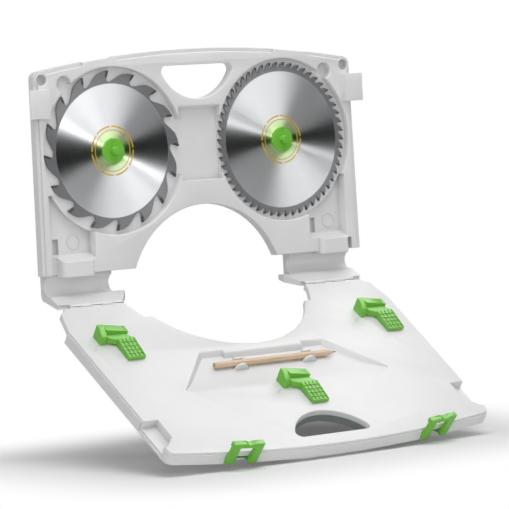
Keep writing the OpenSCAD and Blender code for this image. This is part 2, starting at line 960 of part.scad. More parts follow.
// Outline of the lid, drawn in by one amount at its edge and another at its openings
module lid_shape(edge, hole, hand) {
    high_half = lid_low_half - edge - lid_lean * (lid_top_s - lid_low_s);
    difference() {
        intersection() {
            translate([0, lid_crown_s]) circle(crown_r - edge);
            polygon([
                [-high_half, lid_top_s - edge],
                [-lid_low_half + edge, lid_low_s],
                [-tab_corner_half + edge, tab_corner_s],
                [-tab_root_half + edge, tab_root_s],
                [-tab_root_half + edge, tip_gap],
                [tab_root_half - edge, tip_gap],
                [tab_root_half - edge, tab_root_s],
                [tab_corner_half - edge, tab_corner_s],
                [lid_low_half - edge, lid_low_s],
                [high_half, lid_top_s - edge]]);
        }
        both_sides() corner_sliver(
            lid_low_half - edge + lid_lean * lid_low_s,
            lid_lean, lid_crown_s, crown_r - edge, top_corner_r - edge);
        translate([0, -cut_centre_s]) circle(lid_cut_r + hole);
        polygon([
            [-step_half - hole, step_s],
            [-root_half - hole, root_s],
            [-root_half - hole, -over],
            [root_half + hole, -over],
            [root_half + hole, root_s],
            [step_half + hole, step_s]]);
        translate([0, lid_top_s - lid_hand_s]) hand_hole(hand);
    }
}

// Everything of a profile that lies beyond a distance from the hinge
module beyond(s) {
    intersection() {
        children();
        translate([-lid_top_s, s]) square([2 * lid_top_s, lid_top_s]);
    }
}

// Wedge of the pencil tray, with room around it
module scoop(grow, top) {
    low_h = lid_face - scoop_depth - grow;
    run = scoop_wide_half - scoop_back_half;
    difference() {
        intersection() {
            lid_across(-scoop_wide_half - grow, scoop_wide_half + grow) polygon([
                [scoop_back - grow, top],
                [scoop_back - grow, lid_face],
                [scoop_back + scoop_fall - grow, low_h],
                [scoop_bend_s, lid_face - scoop_depths[1] - grow],
                [scoop_front + grow, lid_face - grow],
                [scoop_front + grow, top]]);
            lid_slab(lid_out, top + over) both_sides() polygon([
                [-over, scoop_back - grow],
                [scoop_back_half + grow, scoop_back - grow],
                [scoop_wide_half + grow, scoop_wide_s],
                [scoop_front_half + grow, scoop_front + grow],
                [-over, scoop_front + grow]]);
        }
        // The walls at the sides slope inwards, and the middle of the back one stands forward
        both_sides() translate([scoop_back_half, -scoop_back, lid_face])
            rotate([0, 0, -atan2(scoop_wide_s - scoop_back, run)]) across(-run, 2 * run) polygon([
                [2 * grow + over, over],
                [grow, 0],
                [grow - 2 * scoop_fall, -2 * scoop_depth],
                [2 * grow + over, -2 * scoop_depth]]);
        lid_across(grow - scoop_mid_half, scoop_mid_half - grow) polygon([
            [scoop_back - grow - over, lid_face],
            [scoop_mid_s - grow, lid_face],
            [scoop_mid_s + 2 * scoop_fall - grow, lid_face - 2 * scoop_depth],
            [scoop_back - grow - over, lid_face - 2 * scoop_depth]]);
    }
}

module notch_shape(grow, reach) {
    both_sides() polygon([
        [notch_in - grow, notch_low - grow],
        [reach, notch_low - grow],
        [reach, notch_high + grow],
        [notch_bend - grow, notch_high + grow],
        [notch_in - grow, notch_high - (notch_bend - notch_in) + grow]]);
}

module screw_places() {
    both_sides() for (spot = screw_spots) translate([spot[0], -spot[1], 0]) children();
}

// Front and rear holders of the pencil
module cradles() {
    pad_h = lid_face - pencil_sink - pencil_w / 2;
    for (x = cradle_xs) {
        translate([x, -pencil_s - pencil_hex_r - run_gap, 0]) intersection() {
            translate([0, 0, lid_face - cradle_half + cradle_top])
                rotate([90, 0, 0]) cylinder(r = cradle_half, h = cradle_t);
            translate([-cradle_half, -cradle_t, lid_face - scoop_depth])
                cube([2 * cradle_half, cradle_t, scoop_depth + cradle_top]);
        }
        translate([x - pillar_half, -pencil_s + pencil_hex_r + run_gap, lid_face - scoop_depth])
            cube([2 * pillar_half, cradle_t, scoop_depth + cradle_top]);
        translate([x - pillar_half, -pencil_s - pencil_hex_r - run_gap, lid_face - scoop_depth])
            cube([2 * pillar_half, 2 * (pencil_hex_r + run_gap), pad_h - lid_face + scoop_depth]);
    }
}

module lid_knuckles() {
    both_sides() for (i = [0, 2, 4]) {
        low = hinge_in + i * knuckle_pitch;
        x_rod(barrel_r, low, low + knuckle_l);
        translate([low, -2 * tip_gap, -barrel_r])
            cube([knuckle_l, 2 * tip_gap, barrel_r + lid_face]);
    }
}

module lid_panel() {
    color(case_grey) lid_place() difference() {
        union() {
            difference() {
                lid_slab(tab_out, lid_face) lid_shape(0, 0, 0);
                lid_slab(tab_out - over, lid_face - skin)
                    beyond(lid_low_s + skin) lid_shape(skin, skin, skin);
                both_sides() for (k = [0:tab_core_count - 1])
                    translate([root_half + tab_core_edge + k * tab_core_pitch, -lid_low_s, tab_out - over])
                        cube([tab_core_pitch - skin, lid_low_s - tab_core_low, tab_depth - skin + over]);
            }
            difference() {
                scoop(skin, lid_face);
                lid_slab(lid_out, lid_face - skin) circle(lid_cut_r + skin - cut_centre_s);
            }
            lid_slab(notch_h - skin, lid_face) intersection() {
                notch_shape(skin, lid_low_half);
                lid_shape(0, 0, 0);
            }
            screw_places() translate([0, 0, lid_face - screw_bite])
                cylinder(r = boss_r, h = screw_bite - skin / 2);
            lid_knuckles();
        }
        scoop(0, lid_face + over);
        lid_slab(notch_h, lid_face + over) notch_shape(0, lid_low_half + over);
        screw_places() translate([0, 0, lid_face - screw_bite - over])
            cylinder(r = screw_r, h = screw_bite + over - skin);
        both_sides() x_rod(pin_r + pin_gap, hinge_in - over, hinge_out + over);
        // Slanted slots beside the holding levers
        for (spot = lever_spots) translate([spot[0] - slot_w, -spot[1] - block_l, lid_face - slot_deep])
            rotate([0, 0, 45]) translate([-slot_l, 0, 0]) cube([slot_l, slot_w, slot_deep + over]);
    }
    color(case_grey) lid_place() cradles();
}

// Outer shell of the lid, lapping outside the panel
module lid_shell() {
    low_s = lid_low_s + seam;
    color(case_grey) difference() {
        union() {
            lid_place() {
                difference() {
                    lid_slab(lid_out, tab_out - seam)
                        beyond(low_s) lid_shape(-shell_lap, shell_cut, 0);
                    lid_slab(lid_out + skin, tab_out)
                        beyond(low_s + skin) lid_shape(skin - shell_lap, shell_cut + skin, skin);
                }
                lid_slab(tab_out - seam, lid_face - shell_rim) beyond(low_s) difference() {
                    lid_shape(-shell_lap, shell_cut, 0);
                    lid_shape(-seam, 0, 0);
                }
                screw_places() translate([0, 0, lid_out])
                    cylinder(r = boss_r, h = lid_face - screw_bite - seam - lid_out);
            }
            for (side = [-1, 1]) latch_place(side)
                translate([-latch_w / 2 - latch_pin_hold, 0, lid_out])
                    cube([latch_w + 2 * latch_pin_hold, latch_room + skin, tab_out - seam - lid_out]);
        }
        lid_place() {
            scoop(skin + seam, lid_face);
            lid_slab(notch_h - skin - seam, lid_face)
                notch_shape(skin + seam, lid_low_half + 2 * shell_lap);
        }
        for (side = [-1, 1]) latch_place(side) {
            translate([-latch_w / 2 - run_gap, -latch_room, lid_out - over])
                cube([latch_w + 2 * run_gap, 2 * latch_room, lid_depth]);
            translate([0, -latch_pivot_w, latch_pivot_h])
                x_rod(latch_pin_r, -latch_pin_end, latch_pin_end);
        }
        lid_place() screw_places() {
            translate([0, 0, lid_out - over]) cylinder(r = screw_head_r + seam, h = screw_head_h + over);
            translate([0, 0, lid_out - over]) cylinder(r = screw_r + seam, h = lid_depth);
        }
    }
}

module lid_screws() {
    color(steel) lid_place() screw_places() difference() {
        union() {
            translate([0, 0, lid_out]) cylinder(r = screw_head_r, h = screw_head_h);
            translate([0, 0, lid_out]) cylinder(r = screw_r, h = lid_depth - skin);
        }
        translate([0, 0, lid_out - over]) cylinder(r = drive_r, h = screw_head_h / 2 + over);
    }
}

module lever_place(i) {
    lid_place() translate([lever_spots[i][0], -lever_spots[i][1], lid_face]) children();
}

module lever_base(i) {
    ear_x = lever_bar_l - ear_t;
    color(lime) lever_place(i) difference() {
        union() {
            lid_across(0, block_w) polygon([
                [0, 0],
                [0, lever_h],
                [block_flat, lever_h],
                [block_l, block_front_h],
                [block_l, 0]]);
            translate([ear_x, -bar_deep, 0]) cube([ear_t, bar_deep, ear_h]);
            translate([0, -bar_deep, 0]) cube([lever_bar_l, bar_deep, foot_h]);
        }
        translate([0, -pivot_s, pivot_h]) x_rod(lever_pin_r, pin_end, lever_bar_l - pin_end);
    }
}

module lever_base_left() {
    lever_base(0);
}

module lever_base_right() {
    lever_base(1);
}

module lever_base_middle() {
    lever_base(2);
}

// Outline of a lever's handle and of the neck that joins it to the bar
module handle_plan(tip_s) {
    polygon([
        [neck_in, -pivot_s],
        [neck_in, -neck_s],
        [handle_x, -neck_s - neck_out],
        [handle_x, -tip_s],
        [handle_x + lever_w, -tip_s],
        [handle_x + lever_w, -neck_turn],
        [lever_bar_l - ear_t - run_gap, -bar_deep - ear_room],
        [lever_bar_l - ear_t - run_gap, -pivot_s]]);
}

// Lever with its bar between the block and the ear, and a ribbed handle
module lever(i) {
    bar_x0 = block_w + run_gap;
    bar_x1 = lever_bar_l - ear_t - run_gap;
    tip_s = block_l + lever_reach;
    color(lime) lever_place(i) difference() {
        union() {
            upright(bar_inset - bar_deep, -bar_inset) polygon([
                [bar_x0, bar_low],
                [bar_x0, lever_h - bar_inset],
                [bar_x1, ear_h],
                [bar_x1, bar_low]]);
            intersection() {
                lid_across(neck_in, handle_x + lever_w) polygon([
                    [pivot_s, bar_low],
                    [neck_root, bar_low],
                    [neck_s, handle_low],
                    [tip_s, handle_low],
                    [tip_s, handle_end],
                    [handle_start, handle_root],
                    [pivot_s, pivot_h + lever_pin_r]]);
                linear_extrude(lever_h) handle_plan(tip_s);
            }
            for (k = [0:lever_ribs]) {
                rib_x = handle_x + k * (lever_w - rail_t) / lever_ribs;
                lid_across(rib_x, rib_x + rail_t) polygon([
                    [handle_start + rail_h, handle_low],
                    [tip_s, handle_low],
                    [tip_s, handle_end + rail_h],
                    [handle_start + rail_h, handle_root + rail_h / 2]]);
            }
            for (k = [1:cross_ribs]) {
                share = k / cross_ribs;
                rib_s = handle_start + share * (tip_s - handle_start - rail_t);
                rib_h = handle_root + share * (handle_end - handle_root);
                lid_across(handle_x, handle_x + lever_w)
                    translate([rib_s, rib_h - rail_h]) square([rail_t, 1.8 * rail_h]);
            }
        }
        translate([0, -pivot_s, pivot_h]) x_rod(lever_pin_r + lever_pin_gap, 0, lever_bar_l);
    }
}

module lever_left() {
    lever(0);
}

module lever_right() {
    lever(1);
}

module lever_middle() {
    lever(2);
}

module lever_pin(i) {
    color(steel) lever_place(i) translate([0, -pivot_s, pivot_h])
        x_rod(lever_pin_r, pin_end, lever_bar_l - pin_end);
}

module lever_pin_left() {
    lever_pin(0);
}

module lever_pin_right() {
    lever_pin(1);
}

module lever_pin_middle() {
    lever_pin(2);
}

// Turns an open latch outwards on its pin
module latch_leaning() {
    translate([0, -latch_pivot_w, latch_pivot_h]) rotate([latch_lean, 0, 0])
        translate([0, latch_pivot_w, -latch_pivot_h]) children();
}

// Bail latch: two legs on a pin, joined by a hooked grip with a dip in its top
module latch(side) {
    window_low = latch_pivot_h - latch_barrel_r - over;
    window_high = latch_top - latch_bar;
    color(lime) latch_place(side) latch_leaning() difference() {
        union() {
            lid_across(-latch_w / 2, latch_w / 2) {
                translate([latch_pivot_w, latch_pivot_h]) circle(latch_barrel_r);
                translate([latch_pivot_w, latch_pivot_h - latch_barrel_r])
                    square([latch_t - latch_pivot_w, 2 * latch_barrel_r]);
                translate([0, latch_pivot_h]) square([latch_t, latch_top - latch_pivot_h]);
                translate([-hook_deep, window_high + hook_inset])
                    square([hook_deep + hook_inset, latch_bar - 2 * hook_inset]);
            }
        }
        translate([-latch_w / 2 + latch_side, -2 * latch_t, window_low])
            cube([latch_w - 2 * latch_side, 3 * latch_t, window_high - window_low]);
        translate([0, -latch_pivot_w, latch_pivot_h])
            x_rod(latch_pin_r + pin_gap, -latch_w, latch_w);
        translate([wave_off, 2 * latch_t, latch_top + wave_r - wave_deep])
            rotate([90, 0, 0]) cylinder(r = wave_r, h = 4 * latch_t);
    }
}

module latch_left() {
    latch(-1);
}

module latch_right() {
    latch(1);
}

module latch_pin(side) {
    color(steel) latch_place(side) translate([0, -latch_pivot_w, latch_pivot_h])
        x_rod(latch_pin_r, -latch_pin_end, latch_pin_end);
}

module latch_pin_left() {
    latch_pin(-1);
}

module latch_pin_right() {
    latch_pin(1);
}

// Pencil along x, with its point on the right
module pencil_place() {
    lid_place() translate([pencil_mid, -pencil_s, lid_face - pencil_sink]) rotate([0, 90, 0]) children();
}

module pencil_wood() {
    body_l = pencil_l - pencil_taper;
    cone_l = pencil_taper - lead_out;
    wide_r = pencil_hex_r + over;
    color(wood_tone) pencil_place() difference() {
        intersection() {
            translate([0, 0, -pencil_l / 2])
                rotate([0, 0, 30]) cylinder(r = pencil_hex_r, h = pencil_l - lead_out, $fn = 6);
            union() {
                translate([0, 0, -pencil_l / 2 - over]) cylinder(r = wide_r, h = body_l + over);
                translate([0, 0, body_l - pencil_l / 2])
                    cylinder(r1 = wide_r, r2 = lead_r + lead_wall, h = cone_l);
            }
        }
        translate([0, 0, -pencil_l / 2 - over]) cylinder(r = lead_r, h = pencil_l + 2 * over);
    }
}

module pencil_lead() {
    color(tooth_grey) pencil_place() {
        translate([0, 0, -pencil_l / 2]) cylinder(r = lead_r, h = pencil_l - lead_out);
        translate([0, 0, pencil_l / 2 - lead_out]) cylinder(r1 = lead_r, r2 = lead_r / 4, h = lead_out);
    }
}

tray_panel();
hub_left();
hub_right();
hub_nut_left();
hub_nut_right();
hub_button_left();
hub_button_right();
hub_spring_left();
hub_spring_right();
coarse_blade();
coarse_blade_tips();
fine_blade();
fine_blade_tips();
leg_clip_left();
leg_clip_right();
hinge_pin_left();
hinge_pin_right();
lid_panel();
lid_shell();
lid_screws();
lever_base_left();
lever_base_right();
lever_base_middle();
lever_left();
lever_right();
lever_middle();
lever_pin_left();
lever_pin_right();
lever_pin_middle();
latch_left();
latch_right();
latch_pin_left();
latch_pin_right();
pencil_wood();
pencil_lead();
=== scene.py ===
"""Saw blade storage case: finishes, studio and camera."""
import json
import math

import bmesh
import bpy
from mathutils import Matrix, Vector


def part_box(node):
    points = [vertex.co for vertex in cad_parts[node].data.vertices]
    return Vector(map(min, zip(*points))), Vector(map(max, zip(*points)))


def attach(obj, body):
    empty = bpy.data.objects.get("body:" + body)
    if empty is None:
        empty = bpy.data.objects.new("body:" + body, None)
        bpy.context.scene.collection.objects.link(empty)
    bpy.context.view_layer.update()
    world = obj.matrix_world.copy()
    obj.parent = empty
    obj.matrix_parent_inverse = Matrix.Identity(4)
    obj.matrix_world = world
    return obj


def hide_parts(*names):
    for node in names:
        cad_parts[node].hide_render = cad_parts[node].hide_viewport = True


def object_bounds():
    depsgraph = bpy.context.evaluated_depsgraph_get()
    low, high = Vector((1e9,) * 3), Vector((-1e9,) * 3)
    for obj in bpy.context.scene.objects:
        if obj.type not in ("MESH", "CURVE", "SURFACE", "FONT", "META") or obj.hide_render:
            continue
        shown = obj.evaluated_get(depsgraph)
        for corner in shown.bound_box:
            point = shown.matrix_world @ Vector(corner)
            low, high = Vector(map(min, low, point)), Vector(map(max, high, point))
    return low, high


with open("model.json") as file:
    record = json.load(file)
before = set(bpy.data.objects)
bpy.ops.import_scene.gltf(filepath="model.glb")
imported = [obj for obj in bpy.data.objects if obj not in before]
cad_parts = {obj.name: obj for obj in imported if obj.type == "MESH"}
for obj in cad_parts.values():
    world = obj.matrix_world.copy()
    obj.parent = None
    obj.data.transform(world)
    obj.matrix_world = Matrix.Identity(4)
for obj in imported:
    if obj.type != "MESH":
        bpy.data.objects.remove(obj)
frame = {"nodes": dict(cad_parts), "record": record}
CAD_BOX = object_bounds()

bl_info = {
    "name": "Saw Blade Storage Case",
    "version": (1, 0, 0),
    "blender": (4, 5, 0),
    "location": "View3D > Sidebar > Blade Case",
    "description": "Finishes, studio and camera for a hanging saw blade storage case",
    "category": "Object",
}

# All lengths are in metres. The lid's hinge axis, and the slope at which the lid hangs open
HINGE = Vector((0, -0.0213, -0.0227))
LID_TURN = Matrix.Rotation(math.radians(-34.8), 3, "X")
# Where the panels' faces lie: the tray's along y, the lid's along z of the lid's own frame
TRAY_FACE = -0.010
LID_FACE = 0.0016
# The stretch of the pencil tray's rim with the wide roll: half its width, and how far from the
# hinge it starts and ends. Beyond its end the tray's side walls run out into the lid's face
SCOOP_HALF, SCOOP_NEAR, SCOOP_FAR = 0.149, 0.1065, 0.1695
# How far edges are rolled over and in how many steps: that rim, and the rest of both faces
RIM_ROLL = 0.0024, 4
FACE_ROLL = 0.0011, 3
# How far the sharp edges of the small mouldings are rounded, and in how many steps
CLIP_EDGE = 0.001
GREEN_EDGE = 0.0004
EDGE_STEPS = 3
# The hand hole's wall in the lid's frame, where a dark strip of painted shade goes: lowest and highest
# corner, and a point inside the hole
SHADE_STRIP_BOX = (-0.062, -0.281, -0.0150), (0.062, -0.229, -0.0050)
SHADE_STRIP_MIDDLE = Vector((0, -0.262, -0.0100))
STRIP_WALL = 0.0006
# A face is a wall of the lid when its normal leans less than this out of the lid's plane
WALL_LEAN = 0.05
# Vertices nearer than this are one, and a point this near to a face's plane lies in it
MERGE = 2e-6
LEVEL = 0.0002
# Faces that meet at less than FLAT are one flat face. Edges over ROLLED are rolled over, and
# edges over CORNER are rounded on small mouldings and stay sharp in the shading
FLAT = math.radians(0.4)
ROLLED = math.radians(15)
CORNER = math.radians(35)

# Between these two tones a noise texture does most of its changing
NOISE_LOW, NOISE_HIGH = 0.3, 0.7
# How far the painted shade in corners reaches out of them, and how open a place is where it is deepest and
# where it ends
CORNER_SHADE_REACH, CORNER_SHADE_DEEPEST, CORNER_SHADE_CLEAR = 0.012, 0.15, 0.85
# The blades' lapped land round the bore, and the rings printed outside it: from, to, broken
LAND_R = 0.0236
PRINTED_RINGS = ((0.0239, 0.0252, False), (0.0280, 0.0300, True))
# A broken ring's number of lengths, and the share of each that is printed
RING_LENGTHS, LENGTH_PRINTED = 8, 0.9
# The spacing of the grinding scratches, and half the width in which the ground face ends
SCRATCH, GROUND_EDGE = 0.0004, 0.0004
# What ink and the dull rim take from the steel's metallic shine, and the rim's extra roughness
INK_HIDES, RIM_HIDES, RIM_ROUGHER = 0.85, 0.82, 0.15

# The world's light on the case, the floor's gap below the case and half its width
WORLD_LIGHT = 0.27
FLOOR_GAP, FLOOR_HALF = 0.003, 14.0
# The floor keeps its own shade in this oblong round the case's foot, and fades to white outside
# it: middle, half size and reach
SHADE_OBLONG = (0.03, -0.10, 0.0), (0.22, 0.15, 1.0), 0.24
# The oval of painted shadow under the hinges, darkening the paper's own colour: middle, half size, the share
# of the way out
# # where it starts to lift, its own tone, and the paper's
PAINTED_SHADOW_MIDDLE = (0.11, 0.01, 0.0)
PAINTED_SHADOW_HALF = (0.32, 0.24, 1.0)
PAINTED_SHADOW_START = 0.15
PAINTED_SHADOW_TONE = (0.15, 0.16, 0.155)
PAPER_TONE = (0.88, 0.88, 0.88)
# Cards that the ground blades reflect, dark in two sectors and bright in the other two: name,
# radius, lowest and highest edge, first and last angle from the front, and brightness
GLOSS_CARDS = (
    ("studio_dark_card", 1.0, (-0.195, 0.60), (-80, 150), 0.006),
    ("studio_bright_card", 1.1, (0.76, 1.9), (-60, 130), 5.4),
    ("studio_low_card", 0.62, (-0.195, -0.12), (-60, 130), 3.0),
)
CARD_STEPS = 24
# The fitted camera: place, aim, roll, lens and sensor in millimetres, shifts, and how far it sees
EYE = Vector((-2.2289, -3.2302, 0.2246))
TARGET = Vector((0.06217, -0.004, 0.0262))
ROLL = math.radians(-3.19)
LENS, SENSOR = 230.0, 36.0
SHIFT_X, SHIFT_Y = 0.0159, -0.0122
VIEW_END = 60.0


def linear(code):
    """An sRGB hex colour as the linear values that shaders take, by the standard's formula."""
    parts = [int(code[i:i + 2], 16) / 255 for i in (0, 2, 4)]
    return tuple(c / 12.92 if c <= 0.04045 else ((c + 0.055) / 1.055) ** 2.4 for c in parts)


def shade(colour, share):
    """A colour made darker or lighter by a share."""
    return tuple(min(1, c * share) for c in colour)


def add_node(owner, kind, links=(), inputs=(), **settings):
    """Adds a shader node to a material or world with its settings, values and links."""
    tree = owner.node_tree
    node = tree.nodes.new(kind)
    for name, value in settings.items():
        setattr(node, name, value)
    for name, value in dict(inputs).items():
        node.inputs[name].default_value = value
    for name, socket in dict(links).items():
        tree.links.new(socket, node.inputs[name])
    return node


def link(owner, socket, node, name):
    """Links a socket to the named input of a node."""
    owner.node_tree.links.new(socket, node.inputs[name])


def worked_out(owner, kind, operation, terms):
    """A Math or Vector Math node, whose terms are sockets or constants."""
    node = add_node(owner, kind, operation=operation)
    for at, term in enumerate(terms):
        if isinstance(term, bpy.types.NodeSocket):
            link(owner, term, node, at)
        else:
            node.inputs[at].default_value = term
    return node


def number(owner, operation, *terms):
    """The result of one operation on numbers."""
    return worked_out(owner, "ShaderNodeMath", operation, terms).outputs[0]


def vector(owner, operation, *terms):
    """The result of one operation on vectors."""
    return worked_out(owner, "ShaderNodeVectorMath", operation, terms).outputs[0]


def length(owner, arm):
    """A vector's length."""
    return worked_out(owner, "ShaderNodeVectorMath", "LENGTH", [arm]).outputs["Value"]


def mapped(owner, value, low, high, to_low=0.0, to_high=1.0, interpolation="LINEAR"):
    """A value that goes from one number to another while the source goes from low to high."""
    node = add_node(owner, "ShaderNodeMapRange", {"Value": value},
                    {"From Min": low, "From Max": high, "To Min": to_low, "To Max": to_high},
                    interpolation_type=interpolation)
    return node.outputs["Result"]


def noise(owner, place, size, detail, roughness=0.5):
    """Noise in patches of about a size."""
    node = add_node(owner, "ShaderNodeTexNoise", {"Vector": place},
                    {"Scale": 1 / size, "Detail": detail, "Roughness": roughness})
    return node.outputs["Fac"]


def ramp(owner, source, stops):
    """A colour ramp, whose stops are (position, linear colour)."""
    node = add_node(owner, "ShaderNodeValToRGB", {"Fac": source})
    elements = node.color_ramp.elements
    while len(elements) < len(stops):
        elements.new(0.5)
    for element, (at, colour) in zip(elements, stops):
        element.position = at
        element.color = (*colour, 1)
    return node.outputs["Color"]


def covered(owner, share, under, over):
    """A colour with a constant colour over it, as far as the share goes."""
    node = add_node(owner, "ShaderNodeMix", {"Factor": share, 6: under}, {7: (*over, 1)}, data_type="RGBA")
    return node.outputs[2]


def new_material(name, **values):
    """A material and its Principled shader, which holds the finish's constant values."""
    material = bpy.data.materials.new(name)
    material.use_nodes = True
    shader = material.node_tree.nodes["Principled BSDF"]
    for socket, value in values.items():
        shader.inputs[socket.replace("_", " ")].default_value = value
    return material, shader


def object_place(material):
    """The coordinates of the point that is shaded, in metres."""
    return add_node(material, "ShaderNodeTexCoord").outputs["Object"]


def dress(material, *names):
    """Gives CAD nodes their finish."""
    for name in names:
        slots = frame["nodes"][name].data.materials
        slots.clear()
        slots.append(material)


def body_holding(node):
    """The name of the body that a CAD node belongs to."""
    return next(body for body, nodes in frame["record"]["behaviour"]["bodies"].items() if node in nodes)


def centre_of(node):
    """The middle of a CAD node's box."""
    low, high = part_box(node)
    return tuple((a + b) / 2 for a, b in zip(low, high))


def in_lid(point):
    """A point in the lid's own frame: x across, y from the hinge (falling), z out of its face."""
    return LID_TURN @ (point - HINGE)


def merged_copy(node, name, material):
    """A copy of a CAD node in edit mode, with its loose triangles joined and its flat faces whole."""
    mesh = frame["nodes"][node].data.copy()
    mesh.materials.clear()
    mesh.materials.append(material)
    piece = bpy.data.objects.new(name, mesh)
    bpy.context.scene.collection.objects.link(piece)
    bpy.ops.object.select_all(action="DESELECT")
    piece.select_set(True)
    bpy.context.view_layer.objects.active = piece
    bpy.ops.object.mode_set(mode="EDIT")
    bpy.ops.mesh.select_mode(type="EDGE")
    bpy.ops.mesh.select_all(action="SELECT")
    bpy.ops.mesh.remove_doubles(threshold=MERGE)
    bpy.ops.mesh.customdata_custom_splitnormals_clear()
    bpy.ops.mesh.dissolve_limited(angle_limit=FLAT)
    bpy.ops.mesh.select_all(action="DESELECT")
    return piece


def stand_in(piece, node):
    """Ends the shaping of a CAD node's copy, which stands for the node from then on."""
    bpy.ops.object.mode_set(mode="OBJECT")
    bpy.ops.object.shade_smooth_by_angle(angle=CORNER)
    piece.select_set(False)
    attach(piece, body_holding(node))
    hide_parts(node)


def edges_softened(node, width, material):
    """A copy of a CAD node with its sharp edges really rounded, which stands for it."""
    piece = merged_copy(node, f"{node}_moulded", material)
    bpy.ops.object.mode_set(mode="OBJECT")
    rounding = piece.modifiers.new("rounded edges", "BEVEL")
    rounding.width = width
    rounding.segments = EDGE_STEPS
    rounding.limit_method = "ANGLE"
    rounding.angle_limit = CORNER
    rounding.use_clamp_overlap = True
    bpy.ops.object.modifier_apply(modifier=rounding.name)
    stand_in(piece, node)


def edges_rolled(piece, roll, chosen):
    """Rolls over the sharp edges whose two ends are both at a chosen place."""
    width, steps = roll
    shape = bmesh.from_edit_mesh(piece.data)
    for edge in shape.edges:
        edge.select = (len(edge.link_faces) == 2 and edge.calc_face_angle() > ROLLED
                       and all(chosen(vert.co) for vert in edge.verts))
    bmesh.update_edit_mesh(piece.data)
    bpy.ops.mesh.bevel(offset=width, segments=steps, affect="EDGES", clamp_overlap=False)
    bpy.ops.mesh.select_all(action="DESELECT")


def lid_panel_moulded(material):
    """The lid's panel, with its pencil tray's rim rolled over widely and its other edges a little."""
    def on_face(point):
        return abs(in_lid(point).z - LID_FACE) < LEVEL

    def on_scoop(point):
        place = in_lid(point)
        return on_face(point) and abs(place.x) < SCOOP_HALF and SCOOP_NEAR < -place.y < SCOOP_FAR

    piece = merged_copy("lid_panel", "lid_panel_moulded", material)
    edges_rolled(piece, RIM_ROLL, on_scoop)
    edges_rolled(piece, FACE_ROLL, lambda point: on_face(point) and not on_scoop(point))
    stand_in(piece, "lid_panel")


def tray_panel_moulded(material):
    """The tray's panel, with the edges of its face rolled over: outline, recesses and pockets."""
    piece = merged_copy("tray_panel", "tray_panel_moulded", material)
    edges_rolled(piece, FACE_ROLL, lambda point: abs(point.y - TRAY_FACE) < LEVEL)
    stand_in(piece, "tray_panel")


def hand_hole_shade_strip(material):
    """A thin dark strip, which lines the lid's hand hole below the panel: painted shade, put where the hole
    lies in shade.
    """
    piece = merged_copy("lid_shell", "lid_hand_hole_shade_strip", material)
    bpy.ops.mesh.select_mode(type="FACE")
    shape = bmesh.from_edit_mesh(piece.data)
    low, high = SHADE_STRIP_BOX
    for face in shape.faces:
        middle, out = in_lid(face.calc_center_median()), LID_TURN @ face.normal
        inward = out.dot(SHADE_STRIP_MIDDLE - middle) > 0 and abs(out.z) < WALL_LEAN
        face.select = not (inward and all(a < c < b for a, c, b in zip(low, middle, high)))
    bmesh.update_edit_mesh(piece.data)
    bpy.ops.mesh.delete(type="FACE")
    bpy.ops.object.mode_set(mode="OBJECT")
    wall = piece.modifiers.new("strip", "SOLIDIFY")
    wall.thickness = STRIP_WALL
    wall.offset = 1.0
    bpy.ops.object.modifier_apply(modifier=wall.name)
    bpy.ops.object.shade_smooth_by_angle(angle=CORNER)
    piece.select_set(False)
    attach(piece, body_holding("lid_shell"))


def moulded_plastic(name, colour, grain, roughness, soft, corner_shade):
    """Injection-moulded plastic: an even colour with faint flow marks, painted shade that darkens it in
    corners and recesses, a spark-eroded grain on its faces, and soft edges where the tool's corners are
    rounded."""
    material, shader = new_material(name, Roughness=roughness, IOR=1.49)
    place = object_place(material)
    flow = noise(material, place, size=0.07, detail=3, roughness=0.55)
    tint = ramp(material, flow, [(NOISE_LOW, shade(colour, 0.965)), (NOISE_HIGH, shade(colour, 1.02))])
    # painted shade: the colour darkens in the corners of pockets and grooves, where shade falls
    corner = add_node(material, "ShaderNodeAmbientOcclusion", inputs={"Distance": CORNER_SHADE_REACH},
                      samples=6, only_local=True)
    painted_corner_shade = mapped(material, corner.outputs["AO"], CORNER_SHADE_DEEPEST, CORNER_SHADE_CLEAR, 1 - corner_shade, 1.0)
    tint_with_corner_shade = add_node(material, "ShaderNodeVectorMath", {0: tint, "Scale": painted_corner_shade}, operation="SCALE")
    link(material, tint_with_corner_shade.outputs[0], shader, "Base Color")
    speck = noise(material, place, size=grain, detail=2, roughness=0.6)
    spread = mapped(material, speck, NOISE_LOW, NOISE_HIGH, roughness - 0.05, roughness + 0.07)
    link(material, spread, shader, "Roughness")
    rounded = add_node(material, "ShaderNodeBevel", inputs={"Radius": soft}, samples=6)
    bump = add_node(material, "ShaderNodeBump", {"Height": speck, "Normal": rounded.outputs["Normal"]},
                    {"Strength": 0.12, "Distance": 0.0002})
    link(material, bump.outputs["Normal"], shader, "Normal")
    return material


def printed_rings(material, radius, turn):
    """1 where the rings round the bore are printed: a thin closed one and a broad broken one."""
    spin = number(material, "MULTIPLY", turn, RING_LENGTHS / (2 * math.pi))
    drawn = number(material, "LESS_THAN", number(material, "FRACT", spin), LENGTH_PRINTED)
    total = 0.0
    for low, high, broken in PRINTED_RINGS:
        beyond = number(material, "GREATER_THAN", radius, low)
        within = number(material, "LESS_THAN", radius, high)
        ring = number(material, "MULTIPLY", beyond, within)
        if broken:
            ring = number(material, "MULTIPLY", ring, drawn)
        total = number(material, "MAXIMUM", total, ring)
    return total


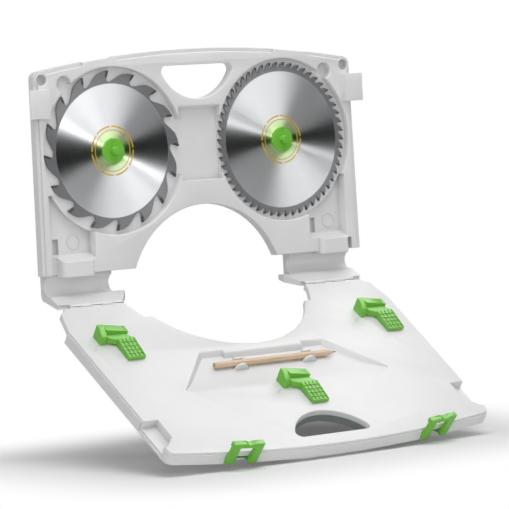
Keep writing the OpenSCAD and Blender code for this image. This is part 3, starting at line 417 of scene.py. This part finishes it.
def ground_blade_steel(name, centre, ground_r, tones):
    """Tool steel plate, ground on a turning table: rings of fine scratches spread its shine
    along the radius, so the disc shows two bright and two dark sectors. Outside the
    ground disc the dull hardened rim is left dark."""
    bright, dull, land_and_reflection, ink = tones
    material, shader = new_material(name, Metallic=1.0, Anisotropic=1.0)
    # the blade turns about y, so only x and z tell where a point lies on its disc
    arm = vector(material, "SUBTRACT", object_place(material), centre)
    flat = vector(material, "MULTIPLY", arm, (1, 0, 1))
    radius = length(material, flat)
    link(material, vector(material, "NORMALIZE", flat), shader, "Tangent")
    # the scratches are drawn coarser than the real ones, so that they show
    scratches = add_node(material, "ShaderNodeTexNoise", {"W": radius}, {"Scale": 1 / SCRATCH, "Detail": 3},
                         noise_dimensions="1D").outputs["Fac"]
    base = ramp(material, scratches, [(NOISE_LOW, shade(bright, 0.94)), (NOISE_HIGH, shade(bright, 1.04))])
    rim = mapped(material, radius, ground_r - GROUND_EDGE, ground_r + GROUND_EDGE)
    base = covered(material, rim, base, dull)
    # the land round the bore is lapped finer; the green hub's reflection in it is painted into its colour as
    # a pale green tint
    base = covered(material, number(material, "LESS_THAN", radius, LAND_R), base, land_and_reflection)
    parts = add_node(material, "ShaderNodeSeparateXYZ", {"Vector": flat}).outputs
    printed = printed_rings(material, radius, number(material, "ARCTAN2", parts["X"], parts["Z"]))
    link(material, covered(material, printed, base, ink), shader, "Base Color")
    metal = number(material, "MULTIPLY_ADD", printed, -INK_HIDES, 1.0)
    metal = number(material, "MULTIPLY_ADD", rim, -RIM_HIDES, metal)
    link(material, metal, shader, "Metallic")
    rough = mapped(material, scratches, NOISE_LOW, NOISE_HIGH, to_low=0.36, to_high=0.44)
    rough = number(material, "MULTIPLY_ADD", rim, RIM_ROUGHER, rough)
    link(material, rough, shader, "Roughness")
    bump = add_node(material, "ShaderNodeBump", {"Height": scratches}, {"Strength": 0.08, "Distance": 0.0001})
    link(material, bump.outputs["Normal"], shader, "Normal")
    return material


def plain_metal(name, colour, roughness, grain):
    """Plated or sintered metal: an even tone with a fine uneven shine."""
    material, shader = new_material(name, Metallic=1.0, Roughness=roughness)
    speck = noise(material, object_place(material), size=grain, detail=3)
    tint = ramp(material, speck, [(NOISE_LOW, shade(colour, 0.93)), (NOISE_HIGH, shade(colour, 1.05))])
    link(material, tint, shader, "Base Color")
    spread = mapped(material, speck, NOISE_LOW, NOISE_HIGH, roughness - 0.06, roughness + 0.06)
    link(material, spread, shader, "Roughness")
    rounded = add_node(material, "ShaderNodeBevel", inputs={"Radius": 0.0002}, samples=4)
    link(material, rounded.outputs["Normal"], shader, "Normal")
    return material


def pencil_softwood(name, colour):
    """Bare planed softwood: long narrow grain lines along the pencil over a pale ground."""
    material, shader = new_material(name, Roughness=0.55, IOR=1.5)
    streaks = add_node(material, "ShaderNodeMapping", {"Vector": object_place(material)},
                       {"Scale": (0.06, 1, 1)})
    grain = noise(material, streaks.outputs["Vector"], size=0.0009, detail=4, roughness=0.6)
    tint = ramp(material, grain,
                [(0.32, shade(colour, 0.72)), (0.5, shade(colour, 0.95)), (0.68, shade(colour, 1.08))])
    link(material, tint, shader, "Base Color")
    bump = add_node(material, "ShaderNodeBump", {"Height": grain}, {"Strength": 0.25, "Distance": 0.0002})
    link(material, bump.outputs["Normal"], shader, "Normal")
    return material


def pencil_graphite(name):
    """Graphite: dark grey with a soft rubbed shine."""
    material, shader = new_material(name, Metallic=0.3, Roughness=0.35)
    rub = noise(material, object_place(material), size=0.0005, detail=2)
    tint = ramp(material, rub, [(NOISE_LOW, linear("26262A")), (NOISE_HIGH, linear("3A3A3E"))])
    link(material, tint, shader, "Base Color")
    return material


def colour_choice(name, description, code):
    """A colour that a user may change."""
    return bpy.props.FloatVectorProperty(
        name=name, description=description, subtype="COLOR", size=3, default=linear(code))


def length_choice(name, description, default):
    """A length that a user may change."""
    return bpy.props.FloatProperty(name=name, description=description, default=default, unit="LENGTH")


class CaseColours(bpy.types.PropertyGroup):
    """Colours of the case, which a user may change before building it."""

    case: colour_choice("Case", "Tray and lid mouldings", "E2E2E2")
    # the hand hole strip's dark grey is painted shade
    grip: colour_choice("Hand hole shade", "Strip in the lid's hand hole", "7C8682")
    green: colour_choice("Levers", "Hubs, levers and latches", "72BE3A")
    steel: colour_choice("Blades", "Ground face of the blades", "D6D7D9")
    rim: colour_choice("Blade rims", "Dull steel at the teeth", "7B7C7F")
    # the lands' colour is partly their own finer lapped tone and partly a painted reflection of the green hub
    land_tone_and_reflection: colour_choice("Blade lands", "Lapped steel round the bores, where the hub shines", "CDE2AE")
    ring: colour_choice("Printed rings", "Rings printed round the bores", "CDB030")
    wood: colour_choice("Pencil", "Bare wood of the pencil", "DCC0A2")


class CaseSizes(bpy.types.PropertyGroup):
    """Sizes of finishes that a user may change before building the case."""

    grain: length_choice("Moulded grain", "Spacing of the moulded grain", 0.0007)
    soft_edge: length_choice("Soft edge", "Rounding of the moulded edges", 0.0007)
    coarse_ground: length_choice("Coarse blade, ground radius", "Radius of the bright disc", 0.0795)
    fine_ground: length_choice("Fine blade, ground radius", "Radius of the bright disc", 0.0835)


class CASE_OT_mouldings(bpy.types.Operator):
    """Grey mouldings: tray, lid, leg clips and the hubs' nuts"""

    bl_idname = "blade_case.mouldings"
    bl_label = "Grey mouldings"

    def execute(self, context):
        colours, sizes = context.scene.case_colours, context.scene.case_sizes
        grey = moulded_plastic("light grey polypropylene, moulded", tuple(colours.case), sizes.grain,
                               roughness=0.46, soft=sizes.soft_edge, corner_shade=0.30)
        dress(grey, "lid_shell", "hub_nut_left", "hub_nut_right")
        tray_panel_moulded(grey)
        lid_panel_moulded(grey)
        for side in ("left", "right"):
            edges_softened(f"leg_clip_{side}", CLIP_EDGE, grey)
        return {"FINISHED"}


class CASE_OT_hand_hole_shade(bpy.types.Operator):
    """Dark strip of painted shade in the lid's hand hole"""

    bl_idname = "blade_case.grip"
    bl_label = "Hand hole grip"

    def execute(self, context):
        colours, sizes = context.scene.case_colours, context.scene.case_sizes
        # a dark grey strip stands in for the shade deep in the hand hole: painted shade
        hole_shade_finish = moulded_plastic("dark grey strip, painted shade in the hand hole", tuple(colours.grip),
                                 sizes.grain, roughness=0.6, soft=sizes.soft_edge, corner_shade=0.3)
        hand_hole_shade_strip(hole_shade_finish)
        return {"FINISHED"}


class CASE_OT_green_parts(bpy.types.Operator):
    """Green mouldings: hubs, buttons, levers and latches"""

    bl_idname = "blade_case.green_parts"
    bl_label = "Green mouldings"

    def execute(self, context):
        colours, sizes = context.scene.case_colours, context.scene.case_sizes
        green = moulded_plastic("lime green polypropylene, moulded", tuple(colours.green), sizes.grain,
                                roughness=0.34, soft=sizes.soft_edge * 0.7, corner_shade=0.4)
        names = [f"{kind}_{side}" for side in ("left", "right") for kind in ("hub", "hub_button", "latch")]
        names += [f"{kind}_{place}" for place in ("left", "right", "middle")
                  for kind in ("lever_base", "lever")]
        for name in names:
            edges_softened(name, GREEN_EDGE, green)
        return {"FINISHED"}


class CASE_OT_blades(bpy.types.Operator):
    """The two saw blades and their carbide tips"""

    bl_idname = "blade_case.blades"
    bl_label = "Saw blades"

    def execute(self, context):
        colours, sizes = context.scene.case_colours, context.scene.case_sizes
        tones = [tuple(c) for c in (colours.steel, colours.rim, colours.land_tone_and_reflection, colours.ring)]
        for name, ground_r in (("coarse", sizes.coarse_ground), ("fine", sizes.fine_ground)):
            steel = ground_blade_steel(f"tool steel, ground, {name} blade", centre_of(f"{name}_blade"),
                                       ground_r, tones)
            dress(steel, f"{name}_blade")
        carbide = plain_metal("tungsten carbide, sintered", linear("6B6C70"), roughness=0.38, grain=0.0004)
        dress(carbide, "coarse_blade_tips", "fine_blade_tips")
        return {"FINISHED"}


class CASE_OT_hardware(bpy.types.Operator):
    """Pins, screws and springs"""

    bl_idname = "blade_case.hardware"
    bl_label = "Pins, screws and springs"

    def execute(self, context):
        plated = plain_metal("steel, zinc plated", linear("C9CACB"), roughness=0.3, grain=0.0012)
        kinds = {"pin", "spring", "screws"}
        dress(plated, *[name for name in frame["nodes"] if kinds & set(name.split("_"))])
        return {"FINISHED"}


class CASE_OT_pencil(bpy.types.Operator):
    """The carpenter's pencil"""

    bl_idname = "blade_case.pencil"
    bl_label = "Pencil"

    def execute(self, context):
        wood = tuple(context.scene.case_colours.wood)
        dress(pencil_softwood("softwood, planed and bare", wood), "pencil_wood")
        dress(pencil_graphite("graphite"), "pencil_lead")
        return {"FINISHED"}


def stage_mesh(name, corners, faces):
    """A floor or card of the studio, which isn't part of the case."""
    mesh = bpy.data.meshes.new(name)
    mesh.from_pydata(corners, [], faces)
    obj = bpy.data.objects.new(name, mesh)
    bpy.context.scene.collection.objects.link(obj)
    return obj


def show(material, closure):
    """Makes a shader's output the surface of its material or world."""
    end = "Material Output" if isinstance(material, bpy.types.Material) else "World Output"
    link(material, closure, material.node_tree.nodes[end], "Surface")


def seen_share(owner):
    """1 for rays that show a surface to the eye: straight, in a gloss or through something clear."""
    rays = add_node(owner, "ShaderNodeLightPath").outputs
    mirrored = number(owner, "MAXIMUM", rays["Is Camera Ray"], rays["Is Glossy Ray"])
    return number(owner, "MAXIMUM", mirrored, rays["Is Transmission Ray"])


def white_world(scene):
    """White all round to the eye, and a softer even light on what stands in it."""
    world = bpy.data.worlds.new("pale studio")
    scene.world = world
    world.use_nodes = True
    light = world.node_tree.nodes["Background"]
    light.inputs["Color"].default_value = (WORLD_LIGHT, WORLD_LIGHT, WORLD_LIGHT, 1)
    white = add_node(world, "ShaderNodeBackground", inputs={"Color": (1, 1, 1, 1)})
    blend = add_node(world, "ShaderNodeMixShader",
                     {"Fac": seen_share(world), 1: light.outputs[0], 2: white.outputs[0]})
    show(world, blend.outputs[0])


def outside_oblong(material, place, middle, half, reach):
    """0 in an oblong on the floor, and 1 from a reach outside it."""
    arm = vector(material, "SUBTRACT", place, middle)
    beyond = vector(material, "SUBTRACT", vector(material, "ABSOLUTE", arm), half)
    outside = vector(material, "MAXIMUM", beyond, (0, 0, 0))
    return mapped(material, length(material, outside), 0.0, reach, interpolation="SMOOTHSTEP")


def paper_floor():
    """White paper floor with a shadow painted into its colour under the case: it keeps the real shadow near
    the case and fades into the backdrop.
    """
    level, half = CAD_BOX[0][2] - FLOOR_GAP, FLOOR_HALF
    corners = [(-half, -half, level), (half, -half, level), (half, half, level), (-half, half, level)]
    floor = stage_mesh("studio_floor", corners, [(0, 1, 2, 3)])
    paper, shader = new_material("white paper floor, painted shadow under the case", Roughness=0.95)
    place = object_place(paper)
    # painted shadow: the paper's colour darkens softly under the hinges
    arm = vector(paper, "DIVIDE", vector(paper, "SUBTRACT", place, PAINTED_SHADOW_MIDDLE), PAINTED_SHADOW_HALF)
    out = mapped(paper, length(paper, arm), PAINTED_SHADOW_START, 1.0, interpolation="SMOOTHSTEP")
    link(paper, ramp(paper, out, [(0.0, PAINTED_SHADOW_TONE), (1.0, PAPER_TONE)]), shader, "Base Color")
    fade = outside_oblong(paper, place, *SHADE_OBLONG)
    share = number(paper, "MULTIPLY", seen_share(paper), fade)
    glow = add_node(paper, "ShaderNodeEmission", inputs={"Color": (1, 1, 1, 1)})
    blend = add_node(paper, "ShaderNodeMixShader", {"Fac": share, 1: shader.outputs[0], 2: glow.outputs[0]})
    show(paper, blend.outputs[0])
    floor.data.materials.append(paper)


def gloss_card(name, radius, heights, turn, level):
    """A curved card in front of the case, which only shiny surfaces reflect."""
    first, last = turn
    corners, faces = [], []
    for i in range(CARD_STEPS + 1):
        angle = math.radians(first + (last - first) * i / CARD_STEPS)
        corners += [(radius * math.sin(angle), -radius * math.cos(angle), z) for z in heights]
    for i in range(CARD_STEPS):
        faces.append((2 * i, 2 * i + 2, 2 * i + 3, 2 * i + 1))
    card = stage_mesh(name, corners, faces)
    card.visible_camera = card.visible_diffuse = card.visible_shadow = False
    card.visible_transmission = False
    paper = new_material(f"{name}, card")[0]
    glow = add_node(paper, "ShaderNodeEmission", inputs={"Color": (level, level, level, 1)})
    show(paper, glow.outputs[0])
    card.data.materials.append(paper)


def soft_box(name, place, aim, size, power, hidden_to_gloss=False, gloss_only=False):
    """A soft lamp at a place, turned to its aim, with its size in metres and its power in watts."""
    lamp = bpy.data.lights.new(name, "AREA")
    lamp.shape = "RECTANGLE"
    lamp.size, lamp.size_y = size
    lamp.energy = power
    obj = bpy.data.objects.new(name, lamp)
    obj.location = place
    obj.rotation_euler = (Vector(aim) - Vector(place)).to_track_quat("-Z", "Y").to_euler()
    obj.visible_glossy = not hidden_to_gloss
    obj.visible_diffuse = obj.visible_camera = obj.visible_transmission = not gloss_only
    bpy.context.scene.collection.objects.link(obj)


def lamps():
    """The studio's lamps. The last is narrow: it draws one thin streak across each blade."""
    case, blades = (0.0, -0.05, 0.05), (0.0, 0.0, 0.16)
    soft_box("top softbox", (-0.5, -1.0, 2.6), case, (2.0, 1.6), 36)
    soft_box("front softbox", (-1.9, -2.8, 0.9), case, (1.6, 1.2), 24, hidden_to_gloss=True)
    soft_box("side softbox", (2.6, -1.4, 1.0), case, (1.4, 1.4), 8, hidden_to_gloss=True)
    soft_box("streak lamp", (-0.17, -0.93, 0.43), blades, (0.04, 0.04), 1.9, gloss_only=True)


def fitted_camera(scene):
    """The camera that sees the case as the photograph does."""
    camera = bpy.data.cameras.new("photo camera")
    camera.sensor_width = SENSOR
    camera.lens = LENS
    camera.shift_x, camera.shift_y = SHIFT_X, SHIFT_Y
    camera.clip_end = VIEW_END
    ahead = (TARGET - EYE).normalized()
    right = ahead.cross(Vector((0, 0, 1))).normalized()
    up = right.cross(ahead)
    rolled_right = right * math.cos(ROLL) + up * math.sin(ROLL)
    rolled_up = up * math.cos(ROLL) - right * math.sin(ROLL)
    obj = bpy.data.objects.new("photo camera", camera)
    turn = Matrix((rolled_right, rolled_up, -ahead)).transposed()
    obj.matrix_world = Matrix.Translation(EYE) @ turn.to_4x4()
    scene.collection.objects.link(obj)
    scene.camera = obj


class CASE_OT_studio(bpy.types.Operator):
    """Pale floor, soft lamps and the camera"""

    bl_idname = "blade_case.studio"
    bl_label = "Studio and camera"

    def execute(self, context):
        context.scene.view_settings.view_transform = "Standard"
        white_world(context.scene)
        paper_floor()
        for card in GLOSS_CARDS:
            gloss_card(*card)
        lamps()
        fitted_camera(context.scene)
        return {"FINISHED"}


class CASE_PT_panel(bpy.types.Panel):
    """Lists the case's choices and pieces in the sidebar"""

    bl_idname = "CASE_PT_panel"
    bl_label = "Blade Case"
    bl_space_type = "VIEW_3D"
    bl_region_type = "UI"
    bl_category = "Blade Case"

    def draw(self, context):
        for group in (context.scene.case_colours, context.scene.case_sizes):
            for name in group.bl_rna.properties.keys():
                if name not in ("rna_type", "name"):
                    self.layout.prop(group, name)
        for operator in OPERATORS:
            self.layout.operator(operator.bl_idname)


OPERATORS = (CASE_OT_mouldings, CASE_OT_hand_hole_shade, CASE_OT_green_parts, CASE_OT_blades, CASE_OT_hardware,
             CASE_OT_pencil, CASE_OT_studio)
CLASSES = (CaseColours, CaseSizes) + OPERATORS + (CASE_PT_panel,)


def register():
    """Makes the case's choices, operators and panel known to Blender."""
    for cls in CLASSES:
        bpy.utils.register_class(cls)
    bpy.types.Scene.case_colours = bpy.props.PointerProperty(type=CaseColours)
    bpy.types.Scene.case_sizes = bpy.props.PointerProperty(type=CaseSizes)


def unregister():
    """Takes them out again."""
    del bpy.types.Scene.case_sizes
    del bpy.types.Scene.case_colours
    for cls in reversed(CLASSES):
        bpy.utils.unregister_class(cls)


def main():
    """Builds every group of pieces and the studio."""
    register()
    bpy.ops.object.select_all(action="DESELECT")
    bpy.ops.blade_case.mouldings()
    bpy.ops.blade_case.grip()
    bpy.ops.blade_case.green_parts()
    bpy.ops.blade_case.blades()
    bpy.ops.blade_case.hardware()
    bpy.ops.blade_case.pencil()
    bpy.ops.blade_case.studio()


if __name__ == "__main__":
    main()
